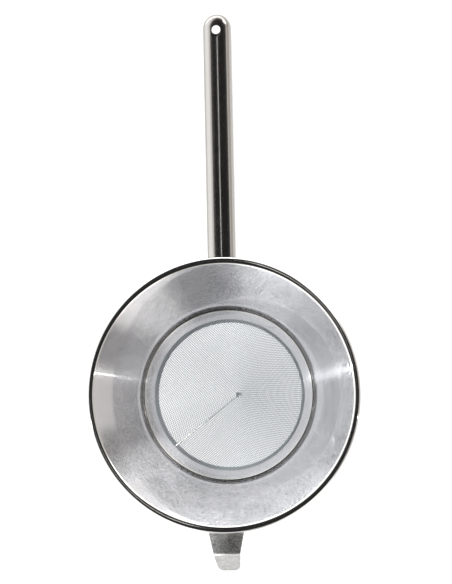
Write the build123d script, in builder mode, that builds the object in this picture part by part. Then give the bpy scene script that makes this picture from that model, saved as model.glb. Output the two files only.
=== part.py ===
"""Fine chinois strainer: a conical collar, a woven gauze cone, a pressed handle and a rest hook.

Millimetres. The origin is the centre of the mouth, in the plane of the rim's top. +Z is up, out
of the mouth, the handle runs along +Y and the rest hook lies opposite, on -Y. A place on the wall
of the cone is given by two lengths: slope, which is how far down the wall it lies from the rim's
bead, and off, which is how far it stands outside the collar's inner face. Small rolled edges are
drawn as rings of flats, because each flat of a section becomes a whole ring of faces.
"""

import os
from math import cos, radians, sin, sqrt

from build123d import *

# Collar: one sheet, rolled over a wire at the mouth and stepped out lower down for the gauze
rim_diameter = 200.0
wall_half_angle = 42.0  # degrees, from the axis to the wall
collar_sheet = 0.6
rim_wire_diameter = 4.2
curl_flat_count = 6  # flats of the curl from the rim's top over the outside and back under the wire
curl_flat_angle = 45.0  # degrees that each of them turns
wire_flat_count = 6
step_run = 1.6  # slope over which the sheet steps out
collar_skirt = 4.9  # slope of collar that shows below the clamp band

# Clamp band: the inner ring that holds the gauze against the collar
band_sheet = 0.6
band_bead_radius = 1.2
band_bead_flat_count = 6
band_top_slope = 46.7  # from the rim's bead to the middle of the band's bead
band_slope_length = 10.7  # from the middle of its bead to its lower edge

# Gauze cone, with its soldered lap and point
gauze_thickness = 0.5
gauze_tip_radius = 2.4
tip_flat_count = 2
gauze_hem = 0.7  # slope from the middle of the band's bead down to the gauze's top edge
mesh_column_count = 12  # openings round the cone, which stand for those of the weave
mesh_row_count = 3
mesh_rib = 2.4  # between two openings
mesh_border = 3.0  # slope left whole below the collar and above the solder
seam_azimuth = 222.0  # degrees from +X
seam_width = 2.2
seam_height = 0.35
solder_radius = 4.4
solder_dish = 0.5  # how far the middle of the solder sinks below its edge

# Handle: a half-oval channel with a domed end
handle_width = 20.8
handle_height = 11.6
handle_top_radius = 18.5  # of the broad arc on top
handle_shoulder_radius = 5.5  # between the top and the straight sides
handle_sheet = 1.0
handle_reach = 280.5  # from the axis to the far end
hang_hole_diameter = 6.5
hang_hole_inset = 12.5  # from the far end to the hole's centre

# Saddle that the handle is welded to, and the weld round the handle's root
saddle_sheet = 1.2
saddle_width = 34.0
saddle_slope_length = 24.0
saddle_corner = 6.0
weld_throat = 1.6

# Rest hook: a bent strip and its flange
hook_sheet = 1.5
hook_root_width = 25.4
hook_bend_width = 19.2
hook_tip_width = 15.6
hook_arm = 15.3  # from the rim's edge to the bend
hook_nose = 20.0  # from the bend to the tip
hook_nose_angle = 50.0  # degrees below level
hook_bend = 2.0  # inner bend radius
hook_tip_corner = 4.5
flange_width = 27.0
flange_slope_length = 20.0
flange_corner = 5.0

# Clearances
fit_gap = 0.05  # between sheets that lie on each other
rim_gap = 0.4  # between the rim's bead and what passes under it
cut_overrun = 5.0

# Directions in the plane that holds the axis: down the wall, and out through it
down_r, down_z = -sin(radians(wall_half_angle)), -cos(radians(wall_half_angle))
out_r, out_z = cos(radians(wall_half_angle)), -sin(radians(wall_half_angle))

# Rim bead, which the wall's inner face runs into without a step. The corners of its flats lie on
# the bead radius, and the flats leave room for the wire.
curl_start = 180 - wall_half_angle
widest_flat = max(curl_start - 90, curl_flat_angle)
bead_radius = (rim_wire_diameter / 2 + fit_gap + collar_sheet) / cos(radians(widest_flat / 2))
bead_centre_r = rim_diameter / 2 - bead_radius
wall_top_r = bead_centre_r - bead_radius * out_r
wall_top_z = -bead_radius - bead_radius * out_z
bead_underside = -2 * bead_radius

# Layers of the wall, from the inside out
gauze_front = band_sheet + fit_gap
gauze_back = gauze_front + gauze_thickness
stepped_face = gauze_back + fit_gap
plate_front = collar_sheet + fit_gap
saddle_back = plate_front + saddle_sheet
flange_back = plate_front + hook_sheet

# Handle and hook heights
handle_top = bead_underside - rim_gap
handle_floor = handle_top - handle_height
handle_end_centre = handle_reach - handle_width / 2
hook_top = bead_underside - rim_gap


def on_wall(slope, off):
    """Radius and height of a place on the wall."""
    return (
        wall_top_r + slope * down_r + off * out_r,
        wall_top_z + slope * down_z + off * out_z,
    )


def slope_at_height(height, off):
    return (height - wall_top_z - off * out_z) / down_z


def slope_at_radius(radius, off):
    return (radius - wall_top_r - off * out_r) / down_r


def strip_corners(slope_from, slope_to, off_from, off_to):
    """The four corners of a straight strip of the wall."""
    return (
        on_wall(slope_from, off_from),
        on_wall(slope_to, off_from),
        on_wall(slope_to, off_to),
        on_wall(slope_from, off_to),
    )


def wall_plane(slope, off, azimuth):
    """Plane that lies on the wall at an azimuth, facing out, with its y direction up the wall."""
    radius, height = on_wall(slope, off)
    east, north = cos(radians(azimuth)), sin(radians(azimuth))
    return Plane(
        origin=(radius * east, radius * north, height),
        x_dir=(-north, east, 0),
        z_dir=(out_r * east, out_r * north, out_z),
    )


def cone_core(off):
    """Solid cone that fills the strainer up to that distance outside the collar's inner face."""
    with BuildPart() as core:
        with BuildSketch(Plane.XZ):
            with BuildLine():
                apex = on_wall(slope_at_radius(0, off), off)
                top = on_wall(slope_at_height(cut_overrun, off), off)
                Polyline(apex, top, (0, cut_overrun), close=True)
            make_face()
        revolve(axis=Axis.Z)
    return core.part


def curved_plate(width, corner, slope_from, slope_to, off_from, off_to, azimuth):
    """Plate with rounded corners, bent to lie on the wall at an azimuth."""
    with BuildPart() as plate:
        with BuildSketch(Plane.XZ):
            with BuildLine():
                Polyline(*strip_corners(slope_from, slope_to, off_from, off_to), close=True)
            make_face()
        revolve(axis=Axis.Z)
        with BuildSketch(wall_plane((slope_from + slope_to) / 2, off_to, azimuth)):
            RectangleRounded(width, slope_to - slope_from, corner)
        extrude(amount=width, both=True, mode=Mode.INTERSECT)
    return plate.part


def rolled_edge(centre, radius, start_angle, sweep, flats):
    """Points of a round edge in the plane that holds the axis, as that many flats."""
    points = []
    for count in range(flats + 1):
        angle = radians(start_angle + sweep * count / flats)
        points.append((centre[0] + radius * cos(angle), centre[1] + radius * sin(angle)))
    return points


def sheet_outline(path, thickness):
    """Outline of a bent sheet: one face follows the path, the other lies to the path's left."""
    points = [Vector(*point) for point in path]
    runs = [(end - start).normalized() for start, end in zip(points, points[1:])]
    lefts = [Vector(-run.Y, run.X) for run in runs]
    far_face = []
    for point, before, after in zip(points, lefts[:1] + lefts, lefts + lefts[-1:]):
        mitre = (before + after) / 2
        far_face.append(point + mitre * (thickness / mitre.length**2))
    return points + far_face[::-1]


def half_oval_face(inset, drop, left):
    """Section of the handle, inset all round, its floor dropped, kept from x = left to the right."""
    half = handle_width / 2 - inset
    arc_radius = handle_top_radius - inset
    arc_centre = handle_top - handle_top_radius
    side_top = arc_centre + sqrt(arc_radius**2 - half**2)
    floor = handle_floor - drop
    with BuildSketch() as section:
        with BuildLine():
            ThreePointArc((-half, side_top), (0, handle_top - inset), (half, side_top))
            Polyline((half, side_top), (half, floor), (-half, floor), (-half, side_top))
        make_face()
        fillet(section.vertices().group_by(Axis.Y)[-1], handle_shoulder_radius - inset)
        with Locations((left, (handle_top + floor) / 2)):
            Rectangle(
                handle_width * 2,
                handle_height * 4,
                align=(Align.MIN, Align.CENTER),
                mode=Mode.INTERSECT,
            )
    return section.sketch


def half_oval_bar(inset, drop):
    """Bar with the handle's section and domed end, inset all round, its floor dropped."""
    with BuildPart() as bar:
        with BuildSketch(Plane.XZ):
            add(half_oval_face(inset, drop, -handle_width))
        extrude(amount=-handle_end_centre)
        with BuildSketch(Plane.XZ.offset(-handle_end_centre)):
            add(half_oval_face(inset, drop, 0))
        revolve(axis=Axis((0, handle_end_centre, 0), (0, 0, 1)), revolution_arc=180)
    return bar.part


def write_step(part, name):
    part.label = name
    export_step(part, f"parts/{name}.step")


os.makedirs("parts", exist_ok=True)

# Collar: its section is one line, from the end of the curl over the wire and down the wall
step_slope = band_top_slope - band_bead_radius - fit_gap
collar_end_slope = band_top_slope + band_slope_length + collar_skirt
curl_sweep = -curl_flat_count * curl_flat_angle
curl = rolled_edge((bead_centre_r, -bead_radius), bead_radius, 90, curl_sweep, curl_flat_count)
collar_path = [
    *reversed(curl),
    on_wall(0, 0),
    on_wall(step_slope, 0),
    on_wall(step_slope + step_run, stepped_face),
    on_wall(collar_end_slope, stepped_face),
]
with BuildPart() as collar:
    with BuildSketch(Plane.XZ):
        with BuildLine():
            Polyline(*sheet_outline(collar_path, collar_sheet), close=True)
        make_face()
    revolve(axis=Axis.Z)
write_step(collar.part, "collar")

# Wire in the rolled rim
with BuildPart() as rim_wire:
    with BuildSketch(Plane.XZ):
        with Locations((bead_centre_r, -bead_radius)):
            RegularPolygon(rim_wire_diameter / 2, wire_flat_count)
    revolve(axis=Axis.Z)
write_step(rim_wire.part, "rim_wire")

# Clamp band, whose top edge is rolled inwards to a tight bead
band_end_slope = band_top_slope + band_slope_length
band_bead_centre = on_wall(band_top_slope, band_sheet - band_bead_radius)
with BuildPart() as clamp_band:
    with BuildSketch(Plane.XZ):
        with Locations(band_bead_centre):
            RegularPolygon(band_bead_radius, band_bead_flat_count, rotation=-wall_half_angle)
        with BuildLine():
            Polyline(*strip_corners(band_top_slope, band_end_slope, 0, band_sheet), close=True)
        make_face()
    revolve(axis=Axis.Z)
write_step(clamp_band.part, "clamp_band")

# Gauze cone with a rounded point. Its openings taper towards the point and leave a whole rib under
# the soldered lap.
gauze_top_slope = band_top_slope + gauze_hem
mesh_start_slope = collar_end_slope + mesh_border
mesh_end_slope = slope_at_radius(solder_radius, band_sheet) - mesh_border
mesh_row_pitch = (mesh_end_slope - mesh_start_slope + mesh_rib) / mesh_row_count
mesh_row_height = mesh_row_pitch - mesh_rib
mesh_turn = 360 / mesh_column_count
mesh_azimuths = [seam_azimuth + (column + 1 / 2) * mesh_turn for column in range(mesh_column_count)]


def opening_half_width(slope):
    return on_wall(slope, gauze_front)[0] * sin(radians(mesh_turn / 2)) - mesh_rib / 2


tip_arc = 90 - wall_half_angle
tip_apex = on_wall(slope_at_radius(0, gauze_front), gauze_front)[1]
tip_centre = (0, tip_apex + gauze_tip_radius / sin(radians(wall_half_angle)))
gauze_tip_inside = rolled_edge(tip_centre, gauze_tip_radius, -90, tip_arc, tip_flat_count)
gauze_tip_outside = rolled_edge(tip_centre, gauze_tip_radius + gauze_thickness, -90, tip_arc, tip_flat_count)
with BuildPart() as gauze_cone:
    with BuildSketch(Plane.XZ):
        with BuildLine():
            Polyline(
                *gauze_tip_inside,
                on_wall(gauze_top_slope, gauze_front),
                on_wall(gauze_top_slope, gauze_back),
                *gauze_tip_outside[::-1],
                close=True,
            )
        make_face()
    revolve(axis=Axis.Z)
    for row in range(mesh_row_count):
        row_middle = mesh_start_slope + row * mesh_row_pitch + mesh_row_height / 2
        opening = [
            (side * opening_half_width(row_middle - rise), rise)
            for side, rise in (
                (-1, -mesh_row_height / 2),
                (1, -mesh_row_height / 2),
                (1, mesh_row_height / 2),
                (-1, mesh_row_height / 2),
            )
        ]
        with BuildSketch(*(wall_plane(row_middle, gauze_front, azimuth) for azimuth in mesh_azimuths)):
            with BuildLine():
                Polyline(*opening, close=True)
            make_face()
        extrude(amount=cut_overrun, both=True, mode=Mode.SUBTRACT)
write_step(gauze_cone.part, "gauze_cone")

# Solder that fills the point, its top drawn down in the middle
solder_edge = on_wall(slope_at_radius(solder_radius, band_sheet), band_sheet)
with BuildPart() as gauze_tip:
    with BuildSketch(Plane.XZ):
        with BuildLine():
            Polyline(
                (0, solder_edge[1] - solder_dish),
                *rolled_edge(tip_centre, gauze_tip_radius - fit_gap, -90, tip_arc, tip_flat_count),
                solder_edge,
                close=True,
            )
        make_face()
    revolve(axis=Axis.Z)
write_step(gauze_tip.part, "gauze_tip")

# Soldered lap of the gauze, from the clamp band down to the solder in the point
gauze_seam = curved_plate(
    seam_width,
    seam_width / 4,
    band_end_slope + fit_gap,
    slope_at_radius(solder_radius, band_sheet) - fit_gap,
    band_sheet - seam_height,
    band_sheet,
    seam_azimuth,
)
write_step(gauze_seam, "gauze_seam")

# Saddle under the rim
saddle_slope = bead_radius + rim_gap
saddle_end_slope = saddle_slope + saddle_slope_length
handle_saddle = curved_plate(
    saddle_width, saddle_corner, saddle_slope, saddle_end_slope, plate_front, saddle_back, 90
)
write_step(handle_saddle, "handle_saddle")

# Handle, pressed hollow and open below, cut at its root to sit on the saddle
handle_seat = saddle_back + fit_gap
with BuildPart() as handle:
    add(half_oval_bar(0, 0))
    add(half_oval_bar(handle_sheet, cut_overrun), mode=Mode.SUBTRACT)
    add(cone_core(handle_seat), mode=Mode.SUBTRACT)
    with Locations((0, handle_reach - hang_hole_inset, handle_top)):
        Hole(hang_hole_diameter / 2)
write_step(handle.part, "handle")

# Weld beads on the saddle, down both sides of the handle's root and clear of the rim
weld_top = handle_top - rim_gap
with BuildPart() as handle_weld:
    add(half_oval_bar(-weld_throat, 0))
    add(cone_core(handle_seat + weld_throat), mode=Mode.INTERSECT)
    add(cone_core(handle_seat), mode=Mode.SUBTRACT)
    add(half_oval_bar(-fit_gap, cut_overrun), mode=Mode.SUBTRACT)
    with BuildSketch(Plane.XY.offset(weld_top)):
        Circle(rim_diameter)
    extrude(amount=cut_overrun, mode=Mode.SUBTRACT)
write_step(handle_weld.part, "handle_weld")

# Rest hook: the strip is drawn from the side, trimmed to its plan, and seated on its flange
hook_side = Plane(origin=(0, 0, 0), x_dir=(0, -1, 0), z_dir=(-1, 0, 0))
hook_bend_reach = rim_diameter / 2 + hook_arm
hook_tip_reach = hook_bend_reach + hook_nose * cos(radians(hook_nose_angle))
hook_root_reach = on_wall(slope_at_height(hook_top, plate_front), plate_front)[0] - cut_overrun
flange_slope = slope_at_height(hook_top, flange_back)
flange_end_slope = flange_slope + flange_slope_length
with BuildPart() as rest_hook:
    with BuildSketch(hook_side):
        with BuildLine():
            FilletPolyline(
                (hook_root_reach, hook_top),
                (hook_bend_reach, hook_top),
                (hook_tip_reach, hook_top - hook_nose * sin(radians(hook_nose_angle))),
                radius=hook_bend + hook_sheet,
            )
            offset(amount=hook_sheet, side=Side.RIGHT)
        make_face()
    extrude(amount=hook_root_width, both=True)
    with BuildSketch(Plane.XY):
        with BuildLine():
            Polyline(
                (hook_root_width / 2, -hook_root_reach),
                (hook_root_width / 2, -rim_diameter / 2),
                (hook_bend_width / 2, -hook_bend_reach),
                (hook_tip_width / 2, -hook_tip_reach),
                (-hook_tip_width / 2, -hook_tip_reach),
                (-hook_bend_width / 2, -hook_bend_reach),
                (-hook_root_width / 2, -rim_diameter / 2),
                (-hook_root_width / 2, -hook_root_reach),
                close=True,
            )
        plan = make_face()
        fillet(plan.vertices().group_by(Axis.Y)[0], hook_tip_corner)
    extrude(amount=rim_diameter, both=True, mode=Mode.INTERSECT)
    add(
        curved_plate(
            flange_width, flange_corner, flange_slope, flange_end_slope, plate_front, flange_back, 270
        )
    )
    add(cone_core(plate_front), mode=Mode.SUBTRACT)
write_step(rest_hook.part, "rest_hook")

print("cone depth below the rim", round(-tip_centre[1] + gauze_tip_radius + gauze_thickness, 1))
print("band bead", on_wall(band_top_slope, band_sheet - band_bead_radius))
print("hang hole", handle_reach - hang_hole_inset, handle_top)
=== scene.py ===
# %% [markdown]
# # A fine chinois strainer in stainless steel
#
# The CAD model holds the sizes, and this notebook gives its ten pieces the surfaces of the real
# strainer. A few CAD pieces keep their mesh and only get a finish. The rolled sheets, the woven
# gauze, the handle and the hook are modelled again with round edges, on the same sizes, because
# polished steel shows every flat in its reflections.

from math import cos, pi, radians, sin, sqrt, tan

import bmesh
import bpy
import numpy as np
from mathutils import Matrix, Vector


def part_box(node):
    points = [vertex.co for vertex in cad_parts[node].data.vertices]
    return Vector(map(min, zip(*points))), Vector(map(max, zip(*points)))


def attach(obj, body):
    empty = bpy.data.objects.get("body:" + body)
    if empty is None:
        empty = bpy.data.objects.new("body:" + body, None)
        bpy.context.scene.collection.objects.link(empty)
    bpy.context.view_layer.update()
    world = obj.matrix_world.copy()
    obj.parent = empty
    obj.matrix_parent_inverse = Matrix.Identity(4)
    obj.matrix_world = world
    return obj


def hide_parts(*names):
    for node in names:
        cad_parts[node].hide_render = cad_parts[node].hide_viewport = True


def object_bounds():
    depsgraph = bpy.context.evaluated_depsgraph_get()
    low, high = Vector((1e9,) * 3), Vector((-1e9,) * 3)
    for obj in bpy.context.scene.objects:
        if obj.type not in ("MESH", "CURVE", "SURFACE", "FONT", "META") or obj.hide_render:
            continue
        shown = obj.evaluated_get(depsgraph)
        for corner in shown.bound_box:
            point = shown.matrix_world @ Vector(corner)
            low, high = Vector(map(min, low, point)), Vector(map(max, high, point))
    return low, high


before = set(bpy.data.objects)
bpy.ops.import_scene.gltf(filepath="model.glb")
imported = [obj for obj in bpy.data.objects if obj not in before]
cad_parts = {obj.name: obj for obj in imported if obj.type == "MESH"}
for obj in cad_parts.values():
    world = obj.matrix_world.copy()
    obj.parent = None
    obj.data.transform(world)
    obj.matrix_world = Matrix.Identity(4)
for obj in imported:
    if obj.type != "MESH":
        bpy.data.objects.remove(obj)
cad_low, cad_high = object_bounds()
bpy.ops.object.select_all(action="DESELECT")
mm = 0.001
print("CAD pieces:", ", ".join(sorted(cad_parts)))

# %% [markdown]
# ## Sizes
#
# The outline comes from the CAD pieces' own boxes. What a box can't tell, such as the sheet's
# thickness, is repeated here as a real size. A place on the cone's wall is given by two lengths:
# slope, which is how far down the wall it lies from the rim, and off, which is how far it stands
# outside the collar's inner face.

# %% Sizes of the cone
half_angle = radians(42)  # from the axis to the wall
sheet = 0.6 * mm
bead_radius = 3.01 * mm  # of the rolled rim
band_bead_radius = 1.2 * mm
band_top = 46.7 * mm  # slope of the middle of the clamp band's bead
band_bottom = 57.4 * mm
collar_bottom = 62.3 * mm
step_start = 45.45 * mm
step_run = 1.6 * mm
gauze_middle = 0.9 * mm  # off of the middle of the gauze
step_off = 1.2 * mm

rim_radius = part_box("collar")[1].x
bead_centre_r = rim_radius - bead_radius
down = Vector((-sin(half_angle), -cos(half_angle)))
out = Vector((cos(half_angle), -sin(half_angle)))
wall_start = Vector((bead_centre_r, -bead_radius)) - bead_radius * out


def on_wall(slope, off):
    """Radius and height of a place on the cone's wall."""
    return wall_start + slope * down + off * out


print("rim", round(2 * rim_radius / mm, 1), "mm across, wall starts at", wall_start / mm)

# %% [markdown]
# ## Camera
#
# The photograph looks almost straight down, from a little to the right of the bowl: the deeper a
# ring lies, the further right it shows. A long lens from 1.3 m gives the same shift for the clamp
# band's ring and for the cone's point.

# %% Camera above the bowl
camera_place = Vector((0.158, -0.002, 1.3))
camera_target = Vector((0.0042, 0.0743, 0.0))
camera_roll = radians(-1.2)
film_height = 36.0  # mm, along the long side of the picture
focal_length = 111.5  # mm

camera_data = bpy.data.cameras.new("camera")
camera_data.sensor_fit = "AUTO"
camera_data.sensor_width = film_height
camera_data.lens = focal_length
camera_data.clip_start = 0.01
camera_data.clip_end = 20.0
camera = bpy.data.objects.new("camera", camera_data)
bpy.context.collection.objects.link(camera)
forward = (camera_target - camera_place).normalized()
right = forward.cross(Vector((0, 1, 0))).normalized()
aim = Matrix((right, right.cross(forward), -forward)).transposed().to_4x4()
roll = Matrix.Rotation(camera_roll, 4, "Z")
camera.matrix_world = Matrix.Translation(camera_place) @ aim @ roll
bpy.context.scene.camera = camera
bpy.context.scene.view_settings.view_transform = "Standard"
print("camera", camera.location)

# %% [markdown]
# ## Colours and nodes
#
# Colours are written as on a web page and turned to linear light once. One helper adds any node
# with its settings and links.


# %% Helpers for materials
def colour(code):
    """Linear colour of an sRGB hex code."""
    parts = [int(code[i : i + 2], 16) / 255 for i in (0, 2, 4)]
    linear = [c / 12.92 if c <= 0.04045 else ((c + 0.055) / 1.055) ** 2.4 for c in parts]
    return (*linear, 1.0)


def add_node(tree, kind, inputs=(), **settings):
    """Adds a node; inputs gives a value or another node's output for a socket's name or number."""
    node = tree.nodes.new(kind)
    for name, value in settings.items():
        setattr(node, name, value)
    for socket, value in dict(inputs).items():
        if isinstance(value, bpy.types.NodeSocket):
            tree.links.new(value, node.inputs[socket])
        else:
            node.inputs[socket].default_value = value
    return node


def new_material(name):
    """An empty material, its node tree and its surface shader."""
    material = bpy.data.materials.new(name)
    material.use_nodes = True
    return material, material.node_tree, material.node_tree.nodes["Principled BSDF"]


# %% [markdown]
# ## Light
#
# Polished steel is a mirror, so the studio is the picture on it. This one is painted on the sky:
# pale walls, brighter at the left, and a few lamps, boards and screens that hang at the sides.
# Straight above is a dark opening between two soft boxes, which the camera looks through. An
# umbrella lamp hangs in front of the opening's edge and lights the soldered seam. The camera
# itself sees plain white.

# %% Studio helpers
FACTOR, COLOUR_A, COLOUR_B, COLOUR_OUT = 0, 6, 7, 2  # a Mix node's sockets for colours


def grey(level, warmth=0.0):
    """A light's colour, a little warm or, below zero, a little cool."""
    return (level * (1 + warmth), level, level * (1 - warmth), 1.0)


def sky_direction(azimuth, elevation):
    """Direction towards a place in the sky, from degrees round from +X and degrees up."""
    turn, rise = radians(azimuth), radians(elevation)
    return Vector((cos(rise) * cos(turn), cos(rise) * sin(turn), sin(rise)))


def hang(tree, looking, behind, towards, spread, edge, light, flat=1.0):
    """Hangs a lamp or screen in front of what is behind; spread is its radius in degrees."""
    squeeze = (1.0, 1.0, flat)  # over 1, the lamp is that much less high than it is wide
    squeezed = add_node(
        tree, "ShaderNodeVectorMath", {0: looking, 1: squeeze}, operation="MULTIPLY"
    )
    turned = add_node(
        tree, "ShaderNodeVectorMath", {0: squeezed.outputs[0]}, operation="NORMALIZE"
    )
    towards = (towards * Vector(squeeze)).normalized()
    facing = add_node(
        tree, "ShaderNodeVectorMath", {0: turned.outputs[0], 1: towards}, operation="DOT_PRODUCT"
    )
    inside = add_node(
        tree,
        "ShaderNodeMapRange",
        {
            "Value": facing.outputs["Value"],
            "From Min": cos(radians(spread + edge)),
            "From Max": cos(radians(max(spread - edge, 0))),
        },
        interpolation_type="SMOOTHSTEP",
    )
    mix = add_node(
        tree,
        "ShaderNodeMix",
        {FACTOR: inside.outputs[0], COLOUR_A: behind, COLOUR_B: light},
        data_type="RGBA",
    )
    return mix.outputs[COLOUR_OUT]


# %% Studio
world = bpy.data.worlds.new("studio")
bpy.context.scene.world = world
world.use_nodes = True
tree = world.node_tree
tree.nodes.clear()
looking = add_node(tree, "ShaderNodeTexCoord").outputs["Generated"]

left_wall, right_wall = grey(1.7, -0.015), grey(0.72, 0.05)
wall_fade = 0.6  # how far to either side the walls fade into each other
wall_side = add_node(
    tree, "ShaderNodeVectorMath", {0: looking, 1: (1.0, 0.0, 0.0)}, operation="DOT_PRODUCT"
)
wall_turn = add_node(
    tree,
    "ShaderNodeMapRange",
    {"Value": wall_side.outputs["Value"], "From Min": -wall_fade, "From Max": wall_fade},
)
sky = add_node(
    tree,
    "ShaderNodeMix",
    {FACTOR: wall_turn.outputs[0], COLOUR_A: left_wall, COLOUR_B: right_wall},
    data_type="RGBA",
).outputs[COLOUR_OUT]

# In degrees: how far round and how high each hangs, its radius and the softness of its edge.
for azimuth, elevation, spread, edge, light, flat in (
    (112, 4, 37, 10, grey(3.4, -0.005), 2.1),  # low wide window beyond the handle
    (66, 21, 11, 6, grey(2.8), 1.0),  # three white reflector boards
    (236, 10, 16, 9, grey(2.7, -0.01), 1.0),
    (303, 23, 12, 8, grey(2.6, 0.02), 1.0),
    (270, 8, 12, 8, grey(0.6), 1.0),  # grey screen beyond the hook
    (333, 4, 10, 5, grey(0.12, 0.02), 1.3),  # two black screens at the right
    (31, 0, 15, 5, grey(0.06, 0.03), 1.9),
):
    sky = hang(tree, looking, sky, sky_direction(azimuth, elevation), spread, edge, light, flat)
print(len(tree.nodes), "nodes paint the walls, lamps and screens")

# %% Opening above
opening_centre = sky_direction(0, 86.5)
opening_shape = (1.0, 0.56, 1.0)  # drawn out along Y, because it is the gap between two soft boxes
stretched = add_node(
    tree, "ShaderNodeVectorMath", {0: looking, 1: opening_shape}, operation="MULTIPLY"
)
opening = add_node(
    tree, "ShaderNodeVectorMath", {0: stretched.outputs[0]}, operation="NORMALIZE"
).outputs[0]
for spread, edge, light in (
    (47, 3, grey(1.12, 0.015)),  # the soft boxes' bright edges
    (39, 2, grey(0.13)),  # the opening
    (31, 8, grey(0.03)),
):
    sky = hang(tree, opening, sky, opening_centre, spread, edge, light)

umbrella = sky_direction(47, 33)
sky = hang(tree, looking, sky, umbrella, 11, 5, grey(4.2))
print("the opening above is centred on", opening_centre)

# %% [markdown]
# The thin bright line that runs the length of the handle is a long tube lamp inside the dark
# opening. Two more light strips stand upright at the sides, and turned sheet draws each of them
# out into a streak that runs up and down the wall. Each is a stretch of the sky near a plane.


# %% Tube lamps
tube_fade = 0.03  # how softly a tube ends


def hang_tube(tree, looking, behind, across, half_width, along, start, end, facing, light):
    """Hangs a long thin lamp: across is square to it, along runs with it, facing is its side."""
    aside, run, front = (
        add_node(tree, "ShaderNodeVectorMath", {0: looking, 1: direction}, operation="DOT_PRODUCT")
        for direction in (across, along, facing)
    )
    aside = add_node(tree, "ShaderNodeMath", {0: aside.outputs["Value"]}, operation="ABSOLUTE")
    lit = add_node(
        tree, "ShaderNodeMath", {0: front.outputs["Value"], 1: 0.0}, operation="GREATER_THAN"
    )
    for value, dark, bright in (
        (aside.outputs[0], 1.3 * half_width, 0.7 * half_width),
        (run.outputs["Value"], start - tube_fade, start + tube_fade),
        (run.outputs["Value"], end + tube_fade, end - tube_fade),
    ):
        inside = add_node(
            tree, "ShaderNodeMapRange", {"Value": value, "From Min": dark, "From Max": bright}
        )
        lit = add_node(
            tree, "ShaderNodeMath", {0: lit.outputs[0], 1: inside.outputs[0]}, operation="MULTIPLY"
        )
    mix = add_node(
        tree,
        "ShaderNodeMix",
        {FACTOR: lit.outputs[0], COLOUR_A: behind, COLOUR_B: light},
        data_type="RGBA",
    )
    return mix.outputs[COLOUR_OUT]


north, up = (0, 1, 0), (0, 0, 1)
tube_plane = Vector((1.0, 0.0, 0.045)).normalized()
sky = hang_tube(tree, looking, sky, tube_plane, 0.02, north, 0.03, 0.3, up, grey(1.8))
strip_half_width = 0.005
strip_low, strip_high = 0.06, 0.8  # sines of how high its ends hang
for azimuth, light in ((189, grey(26.0, -0.02)), (348, grey(7.0))):
    side, facing = sky_direction(azimuth + 90, 0), sky_direction(azimuth, 0)
    sky = hang_tube(
        tree, looking, sky, side, strip_half_width, up, strip_low, strip_high, facing, light
    )

light_path = add_node(tree, "ShaderNodeLightPath")
seen = add_node(
    tree,
    "ShaderNodeMix",
    {FACTOR: light_path.outputs["Is Camera Ray"], COLOUR_A: sky, COLOUR_B: grey(1.0)},
    data_type="RGBA",
)
background = add_node(tree, "ShaderNodeBackground", {"Color": seen.outputs[COLOUR_OUT]})
add_node(tree, "ShaderNodeOutputWorld", {"Surface": background.outputs[0]})
print("tube lamp along", tube_plane.cross(Vector((0, 0, 1))))

# %% [markdown]
# ## Floor
#
# A pale, level sheet at the height of the cone's point. It is matt, so it shows the shadow. The
# photograph's floor is blown out to white, so this one gives off a little light, which only the
# camera and reflections see.

# %% Floor
floor_size = 12.0
floor_gap = 0.2 * mm  # under the cone's point
floor_glow = 0.52
bpy.ops.mesh.primitive_plane_add(size=floor_size, location=(0, 0, cad_low.z - floor_gap))
floor = bpy.context.object
floor.name = "floor"
# Matt background paper: an even, pale ground with no gloss, which keeps the strainer's soft shadow.
floor_paper, tree, shader = new_material("matt_white_paper")
shader.inputs["Base Color"].default_value = colour("e4e4e4")
shader.inputs["Roughness"].default_value = 1.0
shader.inputs["Specular IOR Level"].default_value = 0.0
shader.inputs["Emission Color"].default_value = (1.0, 1.0, 1.0, 1.0)
light_path = add_node(tree, "ShaderNodeLightPath")
direct = add_node(
    tree,
    "ShaderNodeMath",
    {0: light_path.outputs["Is Camera Ray"], 1: light_path.outputs["Is Glossy Ray"]},
    operation="MAXIMUM",
)
glow = add_node(tree, "ShaderNodeMath", {0: direct.outputs[0], 1: floor_glow}, operation="MULTIPLY")
tree.links.new(glow.outputs[0], shader.inputs["Emission Strength"])
floor.data.materials.append(floor_paper)
bpy.ops.object.select_all(action="DESELECT")
print("floor", floor_size, "m square")

# %% [markdown]
# ## Helpers for modelling
#
# Round pieces are turned: a section is drawn as a line of edges and spun round the axis. The
# section starts as a circle, because each of these sheets is rolled at its edge. The part of the
# circle that isn't sheet is deleted, and the line goes on from there by extruding its end.


# %% Sections from circles
same_place = 0.02 * mm  # vertices closer than this to a place are taken for it
weld_distance = 0.01 * mm  # and those closer than this to each other are merged


def select_only(obj, test, kind="verts"):
    """In edit mode, selects the vertices, edges or faces whose middle passes the test."""
    mesh = bmesh.from_edit_mesh(obj.data)
    bpy.ops.mesh.select_all(action="DESELECT")
    for item in getattr(mesh, kind):
        corners = [item.co] if kind == "verts" else [vert.co for vert in item.verts]
        if test(sum(corners, Vector()) / len(corners)):
            item.select_set(True)
    mesh.select_flush_mode()
    bmesh.update_edit_mesh(obj.data)


def new_section(name):
    """An empty piece, open in edit mode, for a section in the plane of the axis and X."""
    obj = bpy.data.objects.new(name, bpy.data.meshes.new(name))
    bpy.context.collection.objects.link(obj)
    bpy.context.view_layer.objects.active = obj
    bpy.ops.object.mode_set(mode="EDIT")
    bpy.ops.mesh.select_mode(type="VERT")
    return obj


def degrees_round(point, centre):
    """Angle of a point round a centre, from +X towards +Z, from 0 to 360."""
    return np.degrees(np.arctan2(point.z - centre[1], point.x - centre[0])) % 360


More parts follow.
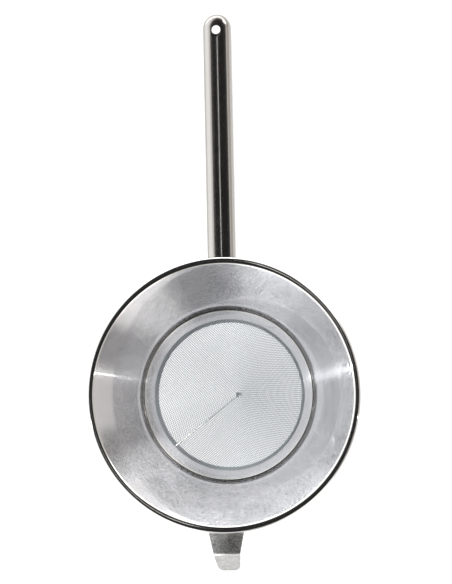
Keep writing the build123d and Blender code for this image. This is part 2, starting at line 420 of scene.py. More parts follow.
def add_arc(obj, centre, radius, start, end, step):
    """Adds a circle to the section and deletes what lies outside the arc, given in degrees."""
    bpy.ops.mesh.select_all(action="DESELECT")
    bpy.ops.mesh.primitive_circle_add(
        vertices=round(360 / step),
        radius=radius,
        location=(centre[0], 0, centre[1]),
        rotation=(pi / 2, 0, 0),
    )
    mesh = bmesh.from_edit_mesh(obj.data)
    for vert in mesh.verts:
        past_start = (degrees_round(vert.co, centre) - start + step / 4) % 360
        if vert.select and past_start < end - start + step / 2:
            vert.select_set(False)
    bpy.ops.mesh.delete(type="VERT")


def join_places(obj, first, second):
    """Draws an edge between the section's vertices at two places (radius, height)."""
    ends = [Vector((place[0], 0, place[1])) for place in (first, second)]
    select_only(obj, lambda co: min((co - end).length for end in ends) < same_place)
    bpy.ops.mesh.edge_face_add()


def on_circle(centre, radius, angle):
    """Radius and height of a place on a circle of the section."""
    return (centre[0] + radius * cos(radians(angle)), centre[1] + radius * sin(radians(angle)))


def extrude_end(obj, start, stops):
    """Extrudes the section's vertex at start through a list of places (radius, height)."""
    here = Vector((start[0], 0, start[1]))
    select_only(obj, lambda co: (co - here).length < same_place)
    for stop in stops:
        there = Vector((stop[0], 0, stop[1]))
        bpy.ops.mesh.extrude_region_move(TRANSFORM_OT_translate={"value": there - here})
        here = there


def spin_section(obj, steps=240):
    """Spins the section once round the axis and closes the seam."""
    bpy.ops.mesh.select_all(action="SELECT")
    bpy.ops.mesh.spin(steps=steps, angle=2 * pi, center=(0, 0, 0), axis=(0, 0, 1))
    bpy.ops.mesh.select_all(action="SELECT")
    bpy.ops.mesh.remove_doubles(threshold=weld_distance)
    bpy.ops.mesh.normals_make_consistent(inside=False)
    bpy.ops.object.mode_set(mode="OBJECT")


# %% [markdown]
# Every piece ends in the same way: its modifiers are applied, its faces are smoothed up to an
# angle, and it gets a material and the place of the CAD nodes that it stands for. A piece
# that is worked in two ways gets a second material on some of its faces.


# %% Finishing a piece
def face_towards(obj, near, towards):
    """Turns all faces over if the face nearest to a place doesn't look in the given direction."""
    face = min(obj.data.polygons, key=lambda polygon: (polygon.center - near).length)
    if face.normal.dot(towards) < 0:
        obj.data.flip_normals()


def apply_modifier(obj, kind, **settings):
    """Adds a modifier with its settings and applies it."""
    bpy.context.view_layer.objects.active = obj
    modifier = obj.modifiers.new(kind.title(), kind)
    for name, value in settings.items():
        setattr(modifier, name, value)
    bpy.ops.object.modifier_apply(modifier=modifier.name)


def finish_piece(obj, material, slot, *nodes, smooth=40):
    """Smooths a piece, gives it its material, and puts it in the place of CAD nodes; slot is not
    used.
    """
    bpy.ops.object.select_all(action="DESELECT")
    obj.select_set(True)
    bpy.context.view_layer.objects.active = obj
    bpy.ops.object.shade_smooth_by_angle(angle=radians(smooth))
    obj.data.materials.clear()
    obj.data.materials.append(material)
    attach(obj, "root")
    if nodes:
        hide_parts(*nodes)
    obj.select_set(False)
    obj.data.calc_loop_triangles()
    print(obj.name, len(obj.data.loop_triangles), "triangles")


def polish_faces(obj, material, test):
    """Gives a second material to the faces whose middle passes the test."""
    obj.data.materials.append(material)
    obj.active_material_index = len(obj.data.materials) - 1
    bpy.context.view_layer.objects.active = obj
    bpy.ops.object.mode_set(mode="EDIT")
    bpy.ops.mesh.select_mode(type="FACE")
    select_only(obj, test, "faces")
    bpy.ops.object.material_slot_assign()
    bpy.ops.object.mode_set(mode="OBJECT")
    print(obj.name, "gets", material.name)


def near_ring(centre, reach):
    """A test for places within reach of a ring round the axis, at (radius, height) centre."""
    return lambda co: sqrt((co.xy.length - centre[0]) ** 2 + (co.z - centre[1]) ** 2) < reach


# %% [markdown]
# ## Finishes
#
# All of it is stainless steel, and what differs is how each surface was worked. Turned sheet has
# fine lines round the axis, ground strip has lines along it, and drawn wire is smooth. Fine lines
# don't show one by one from this far, but they widen a highlight across them, so turned sheet
# draws a lamp out into a streak that runs up and down the wall. One function makes them all: a
# noise mixes smooth and hazy specks, a coarser one varies their share and the tone, and a third,
# long and narrow, is the relief of the lines.
#
# The scales are cells to the metre, so 7000 is a line 0.14 mm wide. Real grinding lines and specks
# are several times as fine and wouldn't show, so they are drawn this coarse.


# %% Steel finishes
grain_scale = 3000.0  # specks of a third of a millimetre
swell_scale = 16.0  # a rolled sheet swells over about 60 mm


def worked_steel(
    name,
    steel,
    smooth,
    hazy,
    haze_share,
    line_scale,
    line_height,
    stretch=0.0,
    wave=0.0,
    mark_scale=38.0,
):
    """Stainless steel between two colours, with roughness smooth on some specks and hazy on others.

    Its lines run along the small numbers in line_scale. Stretch widens highlights across turned
    lines, and wave is the height of the sheet's swell.
    """
    material, tree, shader = new_material(name)
    place = add_node(tree, "ShaderNodeTexCoord").outputs["Object"]
    marks = add_node(
        tree,
        "ShaderNodeTexNoise",
        {"Vector": place, "Scale": mark_scale, "Detail": 5.0, "Roughness": 0.65, "Distortion": 0.6},
    )
    grain = add_node(
        tree, "ShaderNodeTexNoise", {"Vector": place, "Scale": grain_scale, "Detail": 0.0}
    )
    worn = add_node(
        tree,
        "ShaderNodeMapRange",
        {
            "Value": marks.outputs[0],
            "From Min": 0.3,
            "From Max": 0.7,
            "To Min": -0.04,
            "To Max": 0.04,
        },
    )
    mixed = add_node(
        tree, "ShaderNodeMath", {0: grain.outputs[0], 1: worn.outputs[0]}, operation="ADD"
    )
    middle = 0.62 - 0.24 * haze_share  # most of the noise lies between 0.38 and 0.62
    rough = add_node(
        tree,
        "ShaderNodeMapRange",
        {
            "Value": mixed.outputs[0],
            "From Min": middle - 0.02,
            "From Max": middle + 0.02,
            "To Min": smooth,
            "To Max": hazy,
        },
    )
    tone = add_node(
        tree,
        "ShaderNodeMix",
        {FACTOR: marks.outputs[0], COLOUR_A: colour(steel[0]), COLOUR_B: colour(steel[1])},
        data_type="RGBA",
    )
    lines_place = add_node(tree, "ShaderNodeMapping", {"Vector": place, "Scale": line_scale})
    lines = add_node(
        tree, "ShaderNodeTexNoise", {"Vector": lines_place.outputs[0], "Scale": 1.0, "Detail": 1.0}
    )
    relief = add_node(
        tree,
        "ShaderNodeBump",
        {"Height": lines.outputs[0], "Distance": line_height, "Strength": 1.0},
    )
    if wave:
        swell = add_node(
            tree, "ShaderNodeTexNoise", {"Vector": place, "Scale": swell_scale, "Detail": 1.0}
        )
        relief = add_node(
            tree,
            "ShaderNodeBump",
            {
                "Height": swell.outputs[0],
                "Distance": wave,
                "Strength": 1.0,
                "Normal": relief.outputs[0],
            },
        )
    shader.inputs["Metallic"].default_value = 1.0
    tree.links.new(tone.outputs[COLOUR_OUT], shader.inputs["Base Color"])
    tree.links.new(rough.outputs[0], shader.inputs["Roughness"])
    tree.links.new(relief.outputs[0], shader.inputs["Normal"])
    if stretch:
        shader.inputs["Anisotropic"].default_value = stretch
        shader.inputs["Anisotropic Rotation"].default_value = 0.25
        tangent = add_node(tree, "ShaderNodeTangent", direction_type="RADIAL", axis="Z")
        tree.links.new(tangent.outputs[0], shader.inputs["Tangent"])
    return material


# %% The ten finishes
turned_lines = (300, 300, 7000)  # narrow along the axis
strip_lines = (1800, 60, 60)  # narrow across the hook

# Stainless sheet, spun and sanded on the lathe: a satin mirror that draws each lamp out into a
# streak up and down the wall. The sheet's swell makes the streaks wander.
satin_collar = worked_steel(
    "satin_stainless_sheet",
    ("e4e4e7", "eeeef1"),
    smooth=0.03,
    hazy=0.27,
    haze_share=0.7,
    line_scale=turned_lines,
    line_height=0.0003 * mm,
    stretch=1.0,
    wave=0.007 * mm,
)
# The clamp band is the same sheet, sanded duller: the same streaks, softer and greyer.
satin_band = worked_steel(
    "satin_stainless_band",
    ("e4e4e7", "eeeef1"),
    smooth=0.06,
    hazy=0.3,
    haze_share=0.86,
    line_scale=turned_lines,
    line_height=0.0003 * mm,
    stretch=1.0,
    wave=0.008 * mm,
)
# Rolled edges, polished on a wheel: a clear mirror, seen as thin dark and bright rings.
polished_rim = worked_steel(
    "polished_stainless_rim",
    ("d4d2d0", "dddbd8"),
    smooth=0.05,
    hazy=0.12,
    haze_share=0.35,
    line_scale=turned_lines,
    line_height=0.0002 * mm,
)
# Pressed sheet, polished lengthwise: nearly a mirror, in which the opening is a dark stripe.
handle_steel = worked_steel(
    "polished_stainless_handle",
    ("b0ada9", "b7b3ae"),
    smooth=0.07,
    hazy=0.2,
    haze_share=0.3,
    line_scale=(2600, 14, 2600),  # long along the handle
    line_height=0.0005 * mm,
)
# Strip, brushed with a coarse belt: dull, with light and dark specks and no clear reflection.
hook_steel = worked_steel(
    "brushed_stainless_strip",
    ("8a8a88", "e6e5e3"),
    smooth=0.26,
    hazy=0.5,
    haze_share=0.6,
    line_scale=strip_lines,
    line_height=0.004 * mm,
    mark_scale=190.0,
)
# The same strip where handling has rubbed the brushing away, so it is smoother, and painted
# lighter:
# a painted highlight, a bright line across the bend.
rubbed_bend_painted_highlight = worked_steel(
    "rubbed_stainless_bend_painted_highlight",
    # lighter than the strip's own colour: painted highlight on the bend
    ("dcdbd9", "e6e5e3"),
    smooth=0.08,
    hazy=0.18,
    haze_share=0.4,
    line_scale=strip_lines,
    line_height=0.0005 * mm,
)
# Bright drawn wire: smooth, but too thin to mirror anything whole, so the gauze shimmers evenly.
gauze_steel = worked_steel(
    "drawn_stainless_wire",
    ("bdc3c7", "cbd1d5"),
    smooth=0.3,
    hazy=0.45,
    haze_share=0.5,
    line_scale=(300, 300, 300),
    line_height=0.0005 * mm,
)
# Silver solder, wiped while soft: whiter than the steel round it, and uneven, so it glints.
solder = worked_steel(
    "wiped_silver_solder",
    ("fafafa", "fdfdfd"),
    smooth=0.14,
    hazy=0.26,
    haze_share=0.5,
    line_scale=(900, 900, 900),
    line_height=0.26 * mm,
)
# Plate as it comes from the mill: an even, dull grey.
plate_steel = worked_steel(
    "mill_stainless_plate",
    ("b4b3b1", "c0bfbd"),
    smooth=0.26,
    hazy=0.42,
    haze_share=0.6,
    line_scale=(500, 500, 500),
    line_height=0.002 * mm,
)
# Weld metal, cleaned with a wire brush: rough and a little warmer than the steel round it.
weld_steel = worked_steel(
    "brushed_weld_bead",
    ("a39d95", "b6b2ac"),
    smooth=0.3,
    hazy=0.5,
    haze_share=0.6,
    line_scale=(420, 420, 420),
    line_height=0.03 * mm,
)
print("finishes:", ", ".join(sorted(material.name for material in bpy.data.materials)))

# %% [markdown]
# ## Collar
#
# One sheet makes the rim and the wall: it is rolled over a wire at the mouth, runs straight down
# the cone and steps out at the bottom to leave room for the gauze and the clamp band. The rolled
# edge starts as a circle. The roller leaves its top rather flat, so there the circle gives way to
# three arcs that touch: a broad one on top and a tighter shoulder on either side. The wall is
# extruded from the inner shoulder, and the whole line is spun. The sheet gets its thickness
# afterwards, on the outside.

# %% Section of the rim
rim_centre = (bead_centre_r, -bead_radius)
wall_touch = 138  # degrees round the bead where the wall runs off it
curl_end = 186
wall_stops = 8
rolled_flat = 4.1 * mm  # radius of the rim's broad top, left by the roller
flat_ends = 20  # degrees either side of straight up
outer_shoulder = 1.9 * mm
edge_break = 0.14 * mm  # how much of the sheet's cut edges is rounded off
top_half_width = (rolled_flat - outer_shoulder) * sin(radians(flat_ends))
top_middle_r = rim_radius - outer_shoulder - top_half_width
broad_centre = (top_middle_r, -rolled_flat)


def shoulder_centre_at(side, radius):
    """Centre of the small arc that carries the rim's top on at one side."""
    return on_circle(broad_centre, rolled_flat - radius, 90 - side * flat_ends)


inner_reach = Vector(shoulder_centre_at(-1, 0)) - Vector(on_wall(0, 0))
inner_shoulder = inner_reach.dot(out) / (1 - cos(radians(wall_touch - 90 - flat_ends)))
outer_centre = shoulder_centre_at(1, outer_shoulder)
inner_centre = shoulder_centre_at(-1, inner_shoulder)
print("inner shoulder of the rim", round(inner_shoulder / mm, 2), "mm in radius")

# %% Collar
collar = new_section("collar_sheet")
add_arc(collar, rim_centre, bead_radius, curl_end, 360, step=6)
add_arc(collar, outer_centre, outer_shoulder, 0, 90 - flat_ends, step=5)
add_arc(collar, broad_centre, rolled_flat, 90 - flat_ends, 90 + flat_ends, step=2)
add_arc(collar, inner_centre, inner_shoulder, 90 + flat_ends, wall_touch, step=2)
join_places(
    collar, on_circle(rim_centre, bead_radius, 0), on_circle(outer_centre, outer_shoulder, 0)
)
extrude_end(
    collar,
    on_circle(inner_centre, inner_shoulder, wall_touch),
    [on_wall(step_start * (stop + 1) / wall_stops, 0) for stop in range(wall_stops)]
    + [on_wall(step_start + step_run, step_off), on_wall(collar_bottom, step_off)],
)
spin_section(collar)
wall_inside = on_wall(20 * mm, 0)
face_towards(collar, Vector((wall_inside.x, 0, wall_inside.y)), Vector((-1, 0, 1)))
apply_modifier(collar, "SOLIDIFY", thickness=sheet, offset=-1.0)
apply_modifier(
    collar, "BEVEL", width=edge_break, segments=2, limit_method="ANGLE", angle_limit=radians(60)
)
finish_piece(collar, satin_collar, "satin_collar", "collar")
polish_faces(collar, polished_rim, near_ring(rim_centre, 1.12 * bead_radius))

# %% [markdown]
# ## Clamp band
#
# A ring of sheet inside the collar that holds the gauze's edge. Its top edge is rolled towards the
# axis, which makes the bright bead round the gauze.

# %% Clamp band
bead_middle = on_wall(band_top, sheet - band_bead_radius)
band_touch = 318  # degrees round the bead where the band's outer face runs off it
band_curl_end = 252
band = new_section("clamp_band_sheet")
add_arc(band, bead_middle, band_bead_radius, band_touch, band_curl_end + 360, step=6)
extrude_end(
    band,
    on_wall(band_top, sheet),
    [on_wall(band_top + (band_bottom - band_top) * part, sheet) for part in (0.5, 1.0)],
)
spin_section(band)
band_outside = on_wall(band_bottom - 1 * mm, sheet)
face_towards(band, Vector((band_outside.x, 0, band_outside.y)), Vector((1, 0, -1)))
apply_modifier(band, "SOLIDIFY", thickness=sheet, offset=-1.0)
apply_modifier(
    band, "BEVEL", width=edge_break, segments=2, limit_method="ANGLE", angle_limit=radians(60)
)
finish_piece(band, satin_band, "satin_band", "clamp_band")
polish_faces(band, polished_rim, near_ring(bead_middle, 1.06 * band_bead_radius))

# %% [markdown]
# ## Gauze
#
# The gauze is woven flat, cut to a sector and rolled to a cone, so its wires run in different
# directions on different sides. The same is done here: each wire is a straight line in the flat
# sector, clipped to it, and then rolled. A wire passes over and under the ones it crosses. This is
# thousands of alike bends, so a loop makes them. The real gauze is two or three times as fine. In
# the picture its wires run together into lines of about this spacing, so it is drawn that coarse.

# %% Sizes of the gauze
pitch = 1.5 * mm
wire_radius = 0.25 * mm
crimp = 0.14 * mm  # how far a wire rises and falls
pressed_crimp = 0.03 * mm  # under the clamp band
press_fade = 2 * mm  # over which the wires come out from under it
shortest_end = 0.1 * pitch  # of a wire, past its last crossing
wire_sides = 6
seam_azimuth = radians(222)
gauze_top = 47.6 * mm
tip_hidden = 2.0 * mm  # from the cone's point to where the wires end in the solder

slant = sin(half_angle)
sector = 2 * pi * slant
point_slope = on_wall(0, gauze_middle).x / slant
point_height = on_wall(point_slope, gauze_middle).y
outer = point_slope - gauze_top
inner = tip_hidden
print("flat gauze", round(outer / mm, 1), "mm in radius,", round(np.degrees(sector), 1), "degrees")


# %% Wires in the flat sector and on the cone
def inside_spans(line, upright):
    """Stretches of a flat line that lie in the sector; an upright one has a fixed u, others a v."""
    if abs(line) >= outer:
        return []
    low, high = -sqrt(outer**2 - line**2), sqrt(outer**2 - line**2)
    if upright:  # u is fixed
        low = max(low, 0.0 if line > 0 else line * tan(sector))
    elif line < 0:
        high = min(high, line / tan(sector))
    spans = [(low, high)]
    if abs(line) < inner:
        gap = sqrt(inner**2 - line**2)
        spans = [(low, -gap), (gap, high)]
    return [(a, b) for a, b in spans if b - a > pitch / 2]


def rolled(u, v, rise):
    """Places and outward directions on the cone for flat places."""
    far = np.hypot(u, v)
    angle = np.arctan2(v, u) % (2 * pi)
    angle = np.where(angle > (sector + 2 * pi) / 2, 0.0, np.minimum(angle, sector))
    azimuth = angle / slant + seam_azimuth
    east, north = np.cos(azimuth), np.sin(azimuth)
    level = cos(half_angle)
    outward = np.stack([level * east, level * north, np.full_like(u, -slant)], 1)
    radius = far * slant
    place = np.stack([radius * east, radius * north, point_height + far * level], 1)
    return place + outward * rise[:, None], outward


# %% Weaving
def woven(name, upright):
    """All the wires that run one way, as one mesh."""
    verts, faces, first = [], [], 0
    count = int(outer / pitch) + 1
    for number in range(-count, count):
        line = (number + 0.5) * pitch
        for low, high in inside_spans(line, upright):
            crossings = np.arange(np.ceil(low / pitch - 0.5), np.floor(high / pitch - 0.5) + 1)
            along = np.concatenate([[low], (crossings + 0.5) * pitch, [high]])
            sign = np.concatenate([[0], np.where((crossings + number) % 2 == 0, 1.0, -1.0), [0]])
            if along[1] - along[0] < shortest_end:
                along, sign = along[1:], sign[1:]
            if along[-1] - along[-2] < shortest_end:
                along, sign = along[:-1], sign[:-1]
            if len(along) < 2:
                continue
            fixed = np.full_like(along, line)
            u, v = (fixed, along) if upright else (along, fixed)
            free = np.clip((point_slope - band_bottom - np.hypot(u, v)) / press_fade, 0, 1)
            height = sign * (pressed_crimp + (crimp - pressed_crimp) * free)
            centre, outward = rolled(u, v, height * (1 if upright else -1))
            run = np.gradient(centre, axis=0)
            run /= np.linalg.norm(run, axis=1)[:, None]
            side = np.cross(run, outward)
            side /= np.linalg.norm(side, axis=1)[:, None]
            top = np.cross(side, run)
            for corner in range(wire_sides):
                turn = 2 * pi * corner / wire_sides
                verts.append(centre + wire_radius * (cos(turn) * side + sin(turn) * top))
            length = len(along)
            for corner in range(wire_sides):
                this, other = first + corner * length, first + (corner + 1) % wire_sides * length
                faces += [
                    (this + i, this + i + 1, other + i + 1, other + i) for i in range(length - 1)
                ]
            starts = [first + corner * length for corner in range(wire_sides)]
            faces.append(starts)
            faces.append([start + length - 1 for start in reversed(starts)])
            first += wire_sides * length
    mesh = bpy.data.meshes.new(name)
    mesh.from_pydata(np.concatenate(verts).tolist(), [], faces)
    obj = bpy.data.objects.new(name, mesh)
    bpy.context.collection.objects.link(obj)
    return obj


warp = woven("gauze_warp_wires", False)
weft = woven("gauze_weft_wires", True)
finish_piece(warp, gauze_steel, "gauze_wire", "gauze_cone", smooth=75)
finish_piece(weft, gauze_steel, "gauze_wire", smooth=75)

# %% [markdown]
# ## Handle
#
# A pressed channel: a broad rounded top, tight shoulders and short straight sides, with a domed end
# and a hole to hang it by. Half of its section is drawn: a large circle cut down to the arc of the
# top, a small one cut down to the shoulder that touches it, and the side extruded down from there.
# That half is spun to make the domed end, and its open edge is then pulled back to the bowl.

# %% Section of the handle
handle_low, handle_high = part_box("handle")
half_width = handle_high.x
top_radius = 18.5 * mm
shoulder_radius = 5.5 * mm
handle_sheet = 1.0 * mm
hole_inset = 12.5 * mm
hole_radius = 3.25 * mm
end_centre = handle_high.y - half_width
seat_off = 1.9 * mm  # off of the saddle's outer face, where the handle's root sits

top_centre = (0, handle_high.z - top_radius)
shoulder_x = half_width - shoulder_radius
shoulder_centre = (
    shoulder_x,
    top_centre[1] + sqrt((top_radius - shoulder_radius) ** 2 - shoulder_x**2),
)
shoulder_ends, top_starts = 66, 69  # degrees on the two arcs, just short of where they touch

handle = new_section("handle_channel")
add_arc(handle, shoulder_centre, shoulder_radius, 0, shoulder_ends, step=3)
add_arc(handle, top_centre, top_radius, top_starts, 90, step=1.5)
join_places(
    handle,
    on_circle(shoulder_centre, shoulder_radius, shoulder_ends),
    on_circle(top_centre, top_radius, top_starts),
)
extrude_end(handle, (half_width, shoulder_centre[1]), [(half_width, handle_low.z)])
print("handle", round(2 * half_width / mm, 1), "mm wide, end centred at", round(end_centre / mm, 1))

# %% Domed end and channel
dome_steps = 60
channel_stops = 24
root = 70 * mm  # where the channel ends before it is cut, well inside the collar
bpy.ops.mesh.select_all(action="SELECT")
bpy.ops.transform.translate(value=(0, end_centre, 0))
bpy.ops.mesh.spin(steps=dome_steps, angle=pi, center=(0, end_centre, 0), axis=(0, 0, -1))
bpy.ops.mesh.select_all(action="SELECT")
bpy.ops.mesh.remove_doubles(threshold=weld_distance)
select_only(handle, lambda co: abs(co.y - end_centre) < same_place / 2)
for stop in range(channel_stops):
    bpy.ops.mesh.extrude_region_move(
        TRANSFORM_OT_translate={"value": (0, (root - end_centre) / channel_stops, 0)}
    )
bpy.ops.mesh.select_all(action="SELECT")
bpy.ops.mesh.normals_make_consistent(inside=False)
bpy.ops.object.mode_set(mode="OBJECT")
face_towards(handle, Vector((0, 0.2, handle_high.z)), Vector((0, 0, 1)))
apply_modifier(handle, "SOLIDIFY", thickness=handle_sheet, offset=-1.0, use_even_offset=True)

# %% [markdown]
# The handle's root is cut to the slant of the saddle that it is welded to, and the hole is drilled.
# Both are cuts with a plain cone and a plain cylinder. Then every cut edge is broken a little, as
# the polishing wheel does.


# %% Cuts in the handle
def cut_away(obj, tool):
    """Subtracts a helper solid from a piece and deletes the helper."""
    apply_modifier(obj, "BOOLEAN", operation="DIFFERENCE", solver="EXACT", object=tool)
    bpy.data.objects.remove(tool)


seat_top = 5 * mm
seat_bottom = -60 * mm
seat_radii = [
    wall_start.x + ((level - wall_start.y - seat_off * out.y) / down.y) * down.x + seat_off * out.x
    for level in (seat_bottom, seat_top)
]
bpy.ops.mesh.primitive_cone_add(
    vertices=256,
    radius1=seat_radii[0],
    radius2=seat_radii[1],
    depth=seat_top - seat_bottom,
    location=(0, 0, (seat_top + seat_bottom) / 2),
)
cut_away(handle, bpy.context.object)
bpy.ops.mesh.primitive_cylinder_add(
    vertices=64,
    radius=hole_radius,
    depth=10 * mm,
    location=(0, handle_high.y - hole_inset, handle_high.z),
)
cut_away(handle, bpy.context.object)
apply_modifier(
    handle, "BEVEL", width=0.2 * mm, segments=3, limit_method="ANGLE", angle_limit=radians(50)
)
finish_piece(handle, handle_steel, "handle_steel", "handle", smooth=35)

# %% [markdown]
# ## Soldered seam
#
# The gauze's two edges lie over each other and are soldered, which leaves a narrow bead down the
# inside of the cone. It is laid by hand, one ripple after the other: each swells slowly and falls
# back steeply, and no two are quite alike. The bead gets thinner over its lower two thirds, and
# sinks a little towards the wires on its way down. It starts as a flattened circle, which is
# extruded step by step along Z, resized at each step and then laid on the cone. The ripples are
# real shape, so that the light catches their steep sides.


# %% Places on the wall
def lay(obj, place, across, outwards):
    """Turns a piece made at the origin: its X then runs across and its Y outwards."""
    turn = Matrix((across, outwards, across.cross(outwards))).transposed().to_4x4()
    obj.matrix_world = Matrix.Translation(place) @ turn
    bpy.ops.object.select_all(action="DESELECT")
    obj.select_set(True)
    bpy.context.view_layer.objects.active = obj
    bpy.ops.object.transform_apply(location=True, rotation=True, scale=True)


def wall_frame(slope, off, azimuth):
    """A place on the wall, and the directions across the wall and outwards there."""
    radius, height = on_wall(slope, off)
    east, north = cos(azimuth), sin(azimuth)
    outwards = Vector((out.x * east, out.x * north, out.y))
    return Vector((radius * east, radius * north, height)), Vector((-north, east, 0)), outwards


def slope_at_radius(radius, off):
    return (radius - wall_start.x - off * out.x) / down.x


# %% Bead of solder along the seam
seam_off = 0.72 * mm
seam_half_width = 0.75 * mm
ripple_low = 0.32 * mm  # half the bead's height before a ripple
ripple_high = (0.54 * mm, 0.72 * mm)  # and on it, from the faintest to the tallest
seam_taper = 0.78  # how much of the bead is gone at its lower end
seam_full = 1 / 3  # of its length that isn't tapered
seam_sink = 0.12 * mm  # how much deeper it lies at its lower end
end_size, end_gain = 0.3, 0.4  # its size at either end, and what each ripple from there adds
ripple_rise, ripple_drop = 0.85 * mm, 0.15 * mm  # how far down the seam it swells and falls back
ripple_spread = 0.09  # by how much of its width a ripple may be wider or narrower
solder_radius = 4.4 * mm  # of the cone where the solder of the point begins
seam_overrun = 4.4 * mm  # how far the bead runs on into it
seam_start = band_bottom + 0.15 * mm
seam_end = slope_at_radius(solder_radius, sheet) + seam_overrun
ripple_count = round((seam_end - seam_start) / (ripple_rise + ripple_drop))
wavering = np.random.default_rng(4)

seam = new_section("gauze_seam_solder")
bpy.ops.mesh.primitive_circle_add(vertices=16, radius=1.0, fill_type="NGON")
before = (end_size * seam_half_width, end_size * ripple_low)
bpy.ops.transform.resize(value=(*before, 1), center_override=(0, 0, 0))
height = depth = 0.0
for ripple in range(ripple_count):
    from_end = min(ripple + 1, ripple_count - 1 - ripple)
    size = min(1.0, end_size + end_gain * from_end)
    size *= 1 - seam_taper * max(0.0, (ripple / ripple_count - seam_full) / (1 - seam_full))
    width = size * (1 + wavering.uniform(-ripple_spread, ripple_spread)) * seam_half_width
    crest = wavering.uniform(*ripple_high)
    for step, half_height in ((ripple_rise, size * crest), (ripple_drop, size * ripple_low)):
        height += step
        depth += seam_sink / (2 * ripple_count)
        bpy.ops.mesh.extrude_region_move(
            TRANSFORM_OT_translate={"value": (0, seam_sink / (2 * ripple_count), step)}
        )
        bpy.ops.transform.resize(
            value=(width / before[0], half_height / before[1], 1),
            center_override=(0, depth, height),
        )
        before = (width, half_height)
print(ripple_count, "ripples in the seam")
bpy.ops.mesh.select_all(action="SELECT")
bpy.ops.mesh.normals_make_consistent(inside=False)
bpy.ops.object.mode_set(mode="OBJECT")
seam_place, seam_across, seam_out = wall_frame(seam_start, seam_off, seam_azimuth)
lay(seam, seam_place, seam_across, seam_out)
finish_piece(seam, solder, "solder", "gauze_seam", smooth=50)

# %% [markdown]
# ## Solder in the point
#
# The cone's point is dipped in solder, so the wires end in a small cup, drawn to a round drop
# outside. Inside it is hollow, with a floor that rises less steeply than the gauze, because the
# solder is wiped while it is soft. Both faces start as arcs of their own circle, which the cup's
# rounded edge joins, and the section is spun.

# %% Cup of solder at the point
cup_inside, cup_outside = 0.35 * mm, 1.22 * mm  # off of its two faces, either side of the wires
inside_radius, outside_radius = 0.6 * mm, 3.15 * mm
wall_down = 270  # degrees, straight down
wall_meets = 318  # degrees where the outer arc runs into the wall, square to it
cup_edge_radius = 1.9 * mm  # of the cone where the cup's inner face begins
inside_tilt = 30  # degrees that the cup's floor rises, less than the gauze


def arc_centre(off, radius):
    """Centre on the axis of the arc that rounds off the point at a distance off."""
    return (0.0, on_wall(slope_at_radius(0, off), off).y + radius / sin(half_angle))


cup_edge = slope_at_radius(cup_edge_radius, cup_inside)
inside_edge = on_wall(cup_edge + 0.1 * mm, cup_inside)
floor_middle = inside_edge.y - inside_edge.x * tan(radians(inside_tilt))
inside_centre = (0.0, floor_middle + inside_radius / cos(radians(inside_tilt)))
cup = new_section("gauze_tip_solder")
add_arc(cup, inside_centre, inside_radius, wall_down, wall_down + inside_tilt, step=6)
add_arc(cup, arc_centre(cup_outside, outside_radius), outside_radius, wall_down, wall_meets, step=6)
extrude_end(
    cup,
    on_circle(arc_centre(cup_outside, outside_radius), outside_radius, wall_meets),
    [
        on_wall(cup_edge + 0.25 * mm, cup_outside),
        on_wall(cup_edge + 0.12 * mm, 1.1 * mm),
        on_wall(cup_edge, 0.9 * mm),
        on_wall(cup_edge + 0.02 * mm, 0.55 * mm),
        inside_edge,
        on_circle(inside_centre, inside_radius, wall_down + inside_tilt),
    ],
)
spin_section(cup, steps=48)
face_towards(cup, Vector((0, 0, cad_low.z)), Vector((0, 0, -1)))
finish_piece(cup, solder, "solder", "gauze_tip", smooth=50)

# %% [markdown]
# ## Saddle and hook
#
# These two are flat pressings whose CAD shape is right, but whose edges are as sharp as a drawing.
# A real blank comes off the press with its edges broken, and the light catches them. A copy of the
# CAD mesh is merged, its flat faces are joined, and its edges are bevelled. The hook's bend gets a
# finish of its own: rubbed smoother where it hangs over a pot's rim, and painted lighter, which is
# a painted highlight along the bend.
#
# A spot welder leaves shallow dents, and large balls are set out to cut them. They miss, and the
# plates stay smooth: each ball is moved sideways along a straight line, and the plate curves away
# from it by more than the dent is deep. Set out round the axis, they should bite. As it is, the
# cuts only put the mesh's edges in another order. That shifts the hook's shading a little, and the
# look was matched with it, so they stay.


# %% Pressed pieces with broken edges
dent_radius, dent_depth = 6.0 * mm, 0.25 * mm


def pressed_copy(node, name, slopes, sides, off, azimuth):
    """A copy of a CAD piece with its edges broken; the rest says where its dents were to be."""
    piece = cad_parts[node].copy()
    piece.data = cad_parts[node].data.copy()
    piece.name = piece.data.name = name
    bpy.context.collection.objects.link(piece)
    bpy.ops.object.select_all(action="DESELECT")
    piece.select_set(True)
    bpy.context.view_layer.objects.active = piece
    bpy.ops.object.mode_set(mode="EDIT")
    bpy.ops.mesh.select_all(action="SELECT")
    bpy.ops.mesh.remove_doubles(threshold=0.002 * mm)
    bpy.ops.mesh.dissolve_limited(angle_limit=radians(0.3))
    bpy.ops.object.mode_set(mode="OBJECT")
    for slope in slopes:
        for side in sides:
            place, across, outwards = wall_frame(slope, off + dent_radius - dent_depth, azimuth)
            bpy.ops.mesh.primitive_uv_sphere_add(
                segments=48, ring_count=32, radius=dent_radius, location=place + side * across
            )
            cut_away(piece, bpy.context.object)
    apply_modifier(
        piece, "BEVEL", width=0.25 * mm, segments=2, limit_method="ANGLE", angle_limit=radians(50)
    )
    return piece


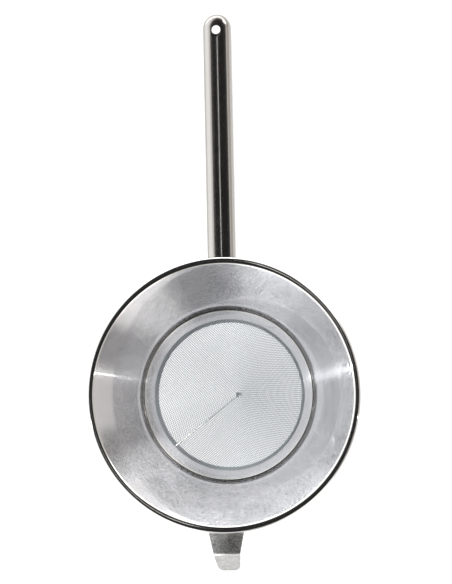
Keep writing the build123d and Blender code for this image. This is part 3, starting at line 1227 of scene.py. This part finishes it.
# %% Saddle and hook
plate_front = 0.65 * mm  # off of the face that lies on the collar
saddle_sheet, hook_sheet = 1.2 * mm, 1.5 * mm
saddle = pressed_copy(
    "handle_saddle",
    "handle_saddle_plate",
    slopes=(9 * mm, 21 * mm),
    sides=(-13.4 * mm, 13.4 * mm),
    off=plate_front + saddle_sheet,
    azimuth=radians(90),
)
finish_piece(saddle, plate_steel, "mill_plate", "handle_saddle", smooth=35)
hook = pressed_copy(
    "rest_hook",
    "rest_hook_strip",
    slopes=(12 * mm, 20 * mm),
    sides=(-8 * mm, 8 * mm),
    off=plate_front + hook_sheet,
    azimuth=radians(270),
)
finish_piece(hook, hook_steel, "brushed_strip", "rest_hook", smooth=35)
bend_start, bend_end = 114.9 * mm, 116.5 * mm  # from the axis, either side of the bend
# the bend is smoother from wear and painted lighter, a painted highlight along the fold
polish_faces(hook, rubbed_bend_painted_highlight, lambda co: bend_start < -co.y < bend_end)

# %% [markdown]
# ## Weld
#
# A weld bead is a row of small overlapping puddles. One flattened ball is modelled, and copies of
# it step down each side of the handle's root along the saddle.

# %% Weld bead beside the handle
puddle_radius = 1.25 * mm
puddle_shape = (1.0, 0.9, 0.62)  # flattened, most of all along the row
puddle_step = 0.75 * mm
puddle_count = 13
weld_top = handle_high.z - 1.6 * mm
weld_aside = half_width + 0.1 * mm
weld_mesh = new_section("handle_weld_puddles")
for side in (-1, 1):
    for puddle in range(puddle_count):
        level = weld_top - puddle * puddle_step
        radius = on_wall((level - wall_start.y - seat_off * out.y) / down.y, seat_off).x
        middle = (side * weld_aside, sqrt(radius**2 - weld_aside**2), level)
        bpy.ops.mesh.select_all(action="DESELECT")
        bpy.ops.mesh.primitive_uv_sphere_add(
            segments=16, ring_count=10, radius=puddle_radius, location=middle
        )
        bpy.ops.transform.resize(value=puddle_shape, center_override=middle)
bpy.ops.object.mode_set(mode="OBJECT")
finish_piece(weld_mesh, weld_steel, "weld_bead", "handle_weld", smooth=60)

# %% [markdown]
# ## Wire in the rim
#
# The rim is rolled over a drawn wire, which keeps the mouth round. It is sealed in the sheet and
# never seen, so the CAD piece stays as it is and only gets a finish.

# %% Finish of the rim wire
rim_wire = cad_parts["rim_wire"]
rim_wire.data.materials.clear()
rim_wire.data.materials.append(gauze_steel)
print("rim_wire finished as", gauze_steel.name)

# %% Print the CAD box
print("CAD box", [round(v / mm, 2) for v in (*cad_low, *cad_high)])
